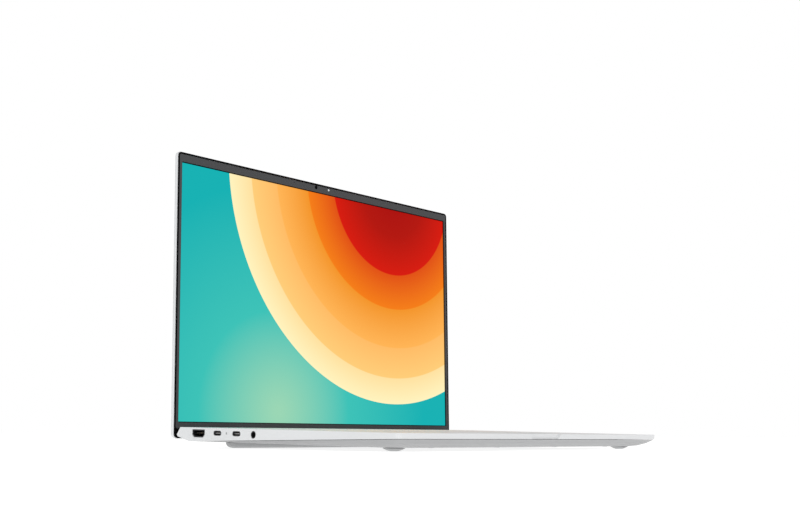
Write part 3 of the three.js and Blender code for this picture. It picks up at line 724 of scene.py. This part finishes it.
paint_rings = nodes.new("ShaderNodeMix")
paint_rings.label = "rings over the ground"
paint_rings.data_type = "RGBA"
shader = nodes.new("ShaderNodeBsdfPrincipled")
shader.label = "matt film over the lit panel"
shader.inputs["Base Color"].default_value = (0.001, 0.001, 0.001, 1)
shader.inputs["Roughness"].default_value = 0.6
shader.inputs["Specular IOR Level"].default_value = 0.05
output = nodes.new("ShaderNodeOutputMaterial")
output.label = "screen"
for column, node in enumerate(n for n in nodes if n.type != "FRAME"):
    node.location = (200 * (column % 8), -260 * (column // 8))
links.new(in_rings.outputs["Value"], paint_rings.inputs["Factor"])
links.new(ground.outputs["Color"], paint_rings.inputs["A"])
links.new(rings.outputs["Color"], paint_rings.inputs["B"])
links.new(paint_rings.outputs["Result"], shader.inputs["Emission Color"])
links.new(lit.outputs["Value"], shader.inputs["Emission Strength"])
links.new(shader.outputs["BSDF"], output.inputs["Surface"])

broken_edges("display_panel", "lid", screen, 0.1 * mm)


# ---- Bezel and rim --------------------------------------------------------------------------
# A dark grey moulded frame over the panel's border, and a black rubber bead pressed into the
# edge of the lid cover round it.

bezel_plastic = moulded_plastic("bezel_plastic", (0.058, 0.059, 0.062), 0.6, 2600, 0.00004, 0.3)
rim_rubber = moulded_plastic("rim_rubber", (0.002, 0.002, 0.002), 0.8, 1400, 0.00005, 0.03)
broken_edges("screen_bezel", "lid", bezel_plastic, 0.15 * mm)
broken_edges("rim_gasket", "lid", rim_rubber, 0.12 * mm)
broken_edges("camera_module", "lid", rim_rubber, 0.05 * mm)


def face_disc(name, material, x, z, radius, front, depth):
    """A thin round piece that lies in the bezel's face, seen from the front of the lid."""
    cage = bmesh.new()
    seat = Matrix.Translation((x, front + depth / 2, z)) @ Matrix.Rotation(pi / 2, 4, "X")
    bmesh.ops.create_cone(
        cage, cap_ends=True, segments=32, radius1=radius, radius2=radius, depth=depth, matrix=seat
    )
    mesh = bpy.data.meshes.new(name)
    cage.to_mesh(mesh)
    cage.free()
    mesh.materials.append(material)
    mesh.shade_smooth()
    mesh.set_sharp_from_angle(angle=crease)
    set_in_place(mesh, lid_place)
    piece = bpy.data.objects.new(name, mesh)
    bpy.context.scene.collection.objects.link(piece)
    rounding = piece.modifiers.new("broken rim", "BEVEL")
    rounding.width = depth / 4
    rounding.segments = 2
    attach(piece, "lid")


# The camera's coated lens, the dark window of the light sensor, an indicator, and a black disc
# over the microphone that is painted shade standing in for its open hole.
lens_coating = moulded_plastic("lens_coating", (0.72, 0.74, 0.76), 0.12, 900, 0.000001, 0.8)
camera_row = 230.95 * mm
bezel_face = 6.35 * mm
barrel_face = bezel_face + 0.15 * mm
window_front = barrel_face - 0.06 * mm
window_depth = 0.1 * mm
hole_front = bezel_face - 0.01 * mm
hole_depth = 0.06 * mm
for name, material, x, radius, front, depth in (
    ("camera_lens", lens_coating, 0, 1.1 * mm, window_front, window_depth),
    ("sensor_window", rim_rubber, -16.65 * mm, 1.4 * mm, window_front, window_depth),
    ("camera_indicator", rim_rubber, 7.65 * mm, 0.35 * mm, hole_front, hole_depth),
    # Painted shade: a black disc in place of the microphone's open hole.
    ("microphone_hole", rim_rubber, -44.65 * mm, 0.4 * mm, hole_front, hole_depth),
):
    face_disc(name, material, x, camera_row, radius, front, depth)


# ---- Feet -----------------------------------------------------------------------------------
# Grey rubber: one long foot across the back and two round ones in front.

foot_rubber = moulded_plastic("foot_rubber", (0.46, 0.465, 0.47), 0.75, 1200, 0.00006)
broken_edges("rear_foot", "base", foot_rubber, 0.5 * mm, 3)
for side in ("left", "right"):
    broken_edges("front_foot_" + side, "base", foot_rubber, 0.4 * mm, 3)


# ---- Sockets --------------------------------------------------------------------------------
# Drawn steel sleeves, plated dark, that sit flush in the side walls. Each holds a moulded
# tongue or a floor with gilt contacts. The audio jack is a plain black moulding.


def plated_steel(name, colour, rough):
    material = bpy.data.materials.new(name)
    material.use_nodes = True
    nodes = material.node_tree.nodes
    links = material.node_tree.links
    nodes.clear()

    place = nodes.new("ShaderNodeTexCoord")
    place.label = "place on the laptop"
    stretch = nodes.new("ShaderNodeMapping")
    stretch.label = "draw lines run front to back"
    stretch.inputs["Scale"].default_value = (9000, 250, 9000)
    lines = nodes.new("ShaderNodeTexNoise")
    lines.label = "fine draw lines"
    lines.inputs["Scale"].default_value = 1
    lines.inputs["Detail"].default_value = 3
    polish = nodes.new("ShaderNodeMapRange")
    polish.label = "roughness over the lines"
    polish.inputs["To Min"].default_value = rough - 0.08
    polish.inputs["To Max"].default_value = rough + 0.1
    relief = nodes.new("ShaderNodeBump")
    relief.label = "depth of the lines"
    relief.inputs["Strength"].default_value = 0.2
    relief.inputs["Distance"].default_value = 0.00002
    shader = nodes.new("ShaderNodeBsdfPrincipled")
    shader.label = "plated metal"
    shader.inputs["Base Color"].default_value = list(colour) + [1]
    shader.inputs["Metallic"].default_value = 1
    output = nodes.new("ShaderNodeOutputMaterial")
    output.label = "metal"

    lines_frame = nodes.new("NodeFrame")
    lines_frame.label = "draw lines"
    for node in (stretch, lines, polish, relief):
        node.parent = lines_frame
    for column, node in enumerate((place, stretch, lines, polish, relief, shader, output)):
        node.location = (column * 220, -110 * (column % 3))

    links.new(place.outputs["Object"], stretch.inputs["Vector"])
    links.new(stretch.outputs["Vector"], lines.inputs["Vector"])
    links.new(lines.outputs["Fac"], polish.inputs["Value"])
    links.new(lines.outputs["Fac"], relief.inputs["Height"])
    links.new(polish.outputs["Result"], shader.inputs["Roughness"])
    links.new(relief.outputs["Normal"], shader.inputs["Normal"])
    links.new(shader.outputs["BSDF"], output.inputs["Surface"])
    return material


socket_steel = plated_steel("socket_steel", (0.13, 0.13, 0.135), 0.42)
bright_steel = plated_steel("bright_steel", (0.55, 0.56, 0.57), 0.3)
gilt = plated_steel("gilt", (0.85, 0.6, 0.25), 0.3)
black_moulding = moulded_plastic("black_moulding", (0.008, 0.008, 0.009), 0.5, 1800, 0.00003, 0.2)
for node in (
    "hdmi_port",
    "usb_c_port_rear",
    "usb_c_port_front",
    "usb_a_port_rear",
    "usb_a_port_front",
    "card_slot",
):
    broken_edges(node, "base", socket_steel, 0.12 * mm)
broken_edges("audio_jack", "base", black_moulding, 0.15 * mm)
broken_edges("lock_plate", "base", bright_steel, 0.1 * mm)


def deck_boxes(name, material, boxes, edge):
    """Small boxes in the deck's frame, in millimetres, as one rounded piece of the base."""
    cage = bmesh.new()
    for spans in boxes:
        middle = Vector([(low + high) / 2 for low, high in spans]) * mm
        size = Vector([high - low for low, high in spans]) * mm
        seat = Matrix.Translation(middle) @ Matrix.Diagonal(size).to_4x4()
        bmesh.ops.create_cube(cage, size=1, matrix=seat)
    mesh = bpy.data.meshes.new(name)
    cage.to_mesh(mesh)
    cage.free()
    mesh.materials.append(material)
    mesh.shade_smooth()
    mesh.set_sharp_from_angle(angle=crease)
    set_in_place(mesh, deck_place)
    piece = bpy.data.objects.new(name, mesh)
    bpy.context.scene.collection.objects.link(piece)
    rounding = piece.modifiers.new("broken edges", "BEVEL")
    rounding.width = edge
    rounding.segments = 2
    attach(piece, "base")


def about(middle, half):
    """The span that reaches half to each side of a middle."""
    return (middle - half, middle + half)


def contact_row(x, y, z, count, pitch, width):
    """Parallel contacts side by side along y, each with the same spans along x and z."""
    middles = [y + (i - (count - 1) / 2) * pitch for i in range(count)]
    return [(x, about(middle, width / 2), z) for middle in middles]


# In millimetres: the sockets' middles along the walls, and their tongues' spans across the case
# (x) and below the deck (z). Contacts stand a hair proud of the faces they lie on.
tongue_grey = moulded_plastic("tongue_grey", (0.30, 0.30, 0.31), 0.5, 1800, 0.00002)
hdmi_middle = 210.2
hdmi_tongue_x = (-175.0, -167.4)
hdmi_tongue_half = 5.5
hdmi_tongue_z = (-4.7, -3.7)
hdmi_contact_x = (-174.7, -167.6)
usb_c_middles = {"usb_c_port_rear": 187.4, "usb_c_port_front": 165.2}
usb_c_tongue_x = (-176.4, -169.8)
usb_c_tongue_half = 3.3
usb_c_tongue_z = (-4.31, -3.61)
usb_c_contact_x = (-176.1, -170.0)
usb_c_contact_half = 0.03
usb_a_middles = {"usb_a_port_rear": 196.0, "usb_a_port_front": 174.0}
usb_a_tongue_x = (167.2, 175.6)
usb_a_tongue_half = 5.2
usb_a_tongue_z = (-4.0, -2.2)
usb_a_contact_x = (167.6, 175.2)
card_middle = 153.0
card_contact_x = (167.8, 173.5)
card_contact_z = (-3.92, -3.78)
contact_proud = 0.06
contact_sunk = 0.04


def lower_face(tongue_z):
    return (tongue_z[0] - contact_proud, tongue_z[0] + contact_sunk)


def upper_face(tongue_z):
    return (tongue_z[1] - contact_sunk, tongue_z[1] + contact_proud)


tongue = (hdmi_tongue_x, about(hdmi_middle, hdmi_tongue_half), hdmi_tongue_z)
deck_boxes("hdmi_tongue", black_moulding, [tongue], 0.12 * mm)
contacts = contact_row(hdmi_contact_x, hdmi_middle, lower_face(hdmi_tongue_z), 10, 1.04, 0.45)
contacts += contact_row(hdmi_contact_x, hdmi_middle, upper_face(hdmi_tongue_z), 9, 1.04, 0.45)
deck_boxes("hdmi_contacts", gilt, contacts, 0.02 * mm)
for node, y in usb_c_middles.items():
    tongue = (usb_c_tongue_x, about(y, usb_c_tongue_half), usb_c_tongue_z)
    deck_boxes(node + "_tongue", tongue_grey, [tongue], 0.1 * mm)
    contacts = []
    for face in (usb_c_tongue_z[1], usb_c_tongue_z[0]):
        contacts += contact_row(usb_c_contact_x, y, about(face, usb_c_contact_half), 12, 0.5, 0.26)
    deck_boxes(node + "_contacts", gilt, contacts, 0.01 * mm)
for node, y in usb_a_middles.items():
    tongue = (usb_a_tongue_x, about(y, usb_a_tongue_half), usb_a_tongue_z)
    deck_boxes(node + "_tongue", black_moulding, [tongue], 0.15 * mm)
    contacts = contact_row(usb_a_contact_x, y, lower_face(usb_a_tongue_z), 4, 2.3, 1.1)
    deck_boxes(node + "_contacts", gilt, contacts, 0.02 * mm)
contacts = contact_row(card_contact_x, card_middle, card_contact_z, 8, 1.2, 0.6)
deck_boxes("card_slot_contacts", gilt, contacts, 0.02 * mm)


# ---- Underside ------------------------------------------------------------------------------
# Ten flat screws with star recesses hold the bottom cover, and black woven mesh closes the
# slots of the fan's intake and of the loudspeakers from inside.


cover_depth = 10.6 * mm
cover_slope = 0.003


def underside_height(y):
    """The bottom cover's outer face below the deck, a little lower towards the rear."""
    return -cover_depth - cover_slope * y


screw_steel = plated_steel("screw_steel", (0.45, 0.46, 0.47), 0.35)
screw_rows = ((211, (-150, -50, 50, 150)), (112, (-110, 110)), (19, (-120, -40, 40, 120)))
screw_places = [(x, y) for y, row in screw_rows for x in row]
head_radius = 2.3 * mm
head_proud = 0.25 * mm
head_sunk = 0.4 * mm
head_chamfer = 0.12 * mm
star_radius = 0.85 * mm
star_wave = 0.2 * mm
star_points = 6
star_taper = 0.85
star_depth = 0.6 * mm
star_steps = 24
cage = bmesh.new()
for x, y in screw_places:
    low = underside_height(y * mm) - head_proud
    turns = [2 * pi * k / star_steps for k in range(star_steps)]
    star = [star_radius + star_wave * cos(star_points * turn) for turn in turns]
    rings_of_head = (
        [(head_radius, low + head_proud + head_sunk)] * star_steps,
        [(head_radius, low + head_chamfer)] * star_steps,
        [(head_radius - head_chamfer, low)] * star_steps,
        [(radius, low) for radius in star],
        [(radius * star_taper, low + star_depth) for radius in star],
    )
    loops = []
    for ring in rings_of_head:
        loop = []
        for turn, (radius, height) in zip(turns, ring):
            corner = (x * mm + radius * cos(turn), y * mm + radius * sin(turn), height)
            loop.append(cage.verts.new(corner))
        loops.append(loop)
    for outer, inner in zip(loops, loops[1:]):
        for k in range(star_steps):
            j = (k + 1) % star_steps
            cage.faces.new((outer[k], inner[k], inner[j], outer[j]))
    cage.faces.new(loops[0])
    cage.faces.new(loops[-1][::-1])
bmesh.ops.recalc_face_normals(cage, faces=cage.faces)
screw_mesh = bpy.data.meshes.new("bottom_screws")
cage.to_mesh(screw_mesh)
cage.free()
screw_mesh.materials.append(screw_steel)
screw_mesh.shade_smooth()
screw_mesh.set_sharp_from_angle(angle=crease)
set_in_place(screw_mesh, deck_place)
screws = bpy.data.objects.new("bottom_screws", screw_mesh)
bpy.context.scene.collection.objects.link(screws)
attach(screws, "base")

mesh_pitch = 1.5 * mm
mesh_rise = 1.35 * mm
wire_width = 0.3 * mm
for name, x, y, width, depth in (
    ("intake_mesh", 100, 170, 47, 46),
    ("speaker_mesh_left", -157, 65, 12, 36),
    ("speaker_mesh_right", 157, 65, 12, 36),
):
    cage = bmesh.new()
    columns = round(width * mm / mesh_pitch)
    rows = round(depth * mm / mesh_pitch)
    bmesh.ops.create_grid(cage, x_segments=columns, y_segments=rows, size=0.5)
    place = Matrix.Translation((x * mm, y * mm, underside_height(y * mm) + mesh_rise))
    cage.transform(place @ Matrix.Diagonal((width * mm, depth * mm, 1, 1)))
    weave = bpy.data.meshes.new(name)
    cage.to_mesh(weave)
    cage.free()
    weave.materials.append(rim_rubber)
    set_in_place(weave, deck_place)
    piece = bpy.data.objects.new(name, weave)
    bpy.context.scene.collection.objects.link(piece)
    wires = piece.modifiers.new("wires", "WIREFRAME")
    wires.thickness = wire_width
    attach(piece, "base")


# ---- Hinges ---------------------------------------------------------------------------------
# Pressed and turned steel: a bracket in the base, an arm in the lid, and the pin between them.

hinge_steel = plated_steel("hinge_steel", (0.42, 0.43, 0.44), 0.38)
for side in ("left", "right"):
    broken_edges("hinge_bracket_" + side, "base", hinge_steel, 0.15 * mm)
    broken_edges("hinge_arm_" + side, "lid", hinge_steel, 0.2 * mm)
    broken_edges("hinge_pin_" + side, "lid", hinge_steel, 0.1 * mm)


# ---- Inside the base ------------------------------------------------------------------------
# Boards, cells, fan and heat parts keep their machined solids and get their own finishes.

board_mask = moulded_plastic("board_mask", (0.01, 0.11, 0.055), 0.4, 500, 0.00004)
copper = plated_steel("copper", (0.72, 0.33, 0.2), 0.35)
lamp_plastic = moulded_plastic("lamp_plastic", (0.45, 0.46, 0.47), 0.3, 800, 0.00001)
for material, members in (
    (board_mask, ("motherboard", "ssd", "wifi_card")),
    (black_moulding, ("battery_pack", "fan_housing", "fan_impeller", "speaker_left", "speaker_right")),
    (copper, ("heat_sink", "heat_pipe")),
    (bright_steel, ("keyboard_backplate",)),
    (lamp_plastic, ("charge_lamp",)),
):
    for node in members:
        frame["nodes"][node].data.materials.clear()
        frame["nodes"][node].data.materials.append(material)
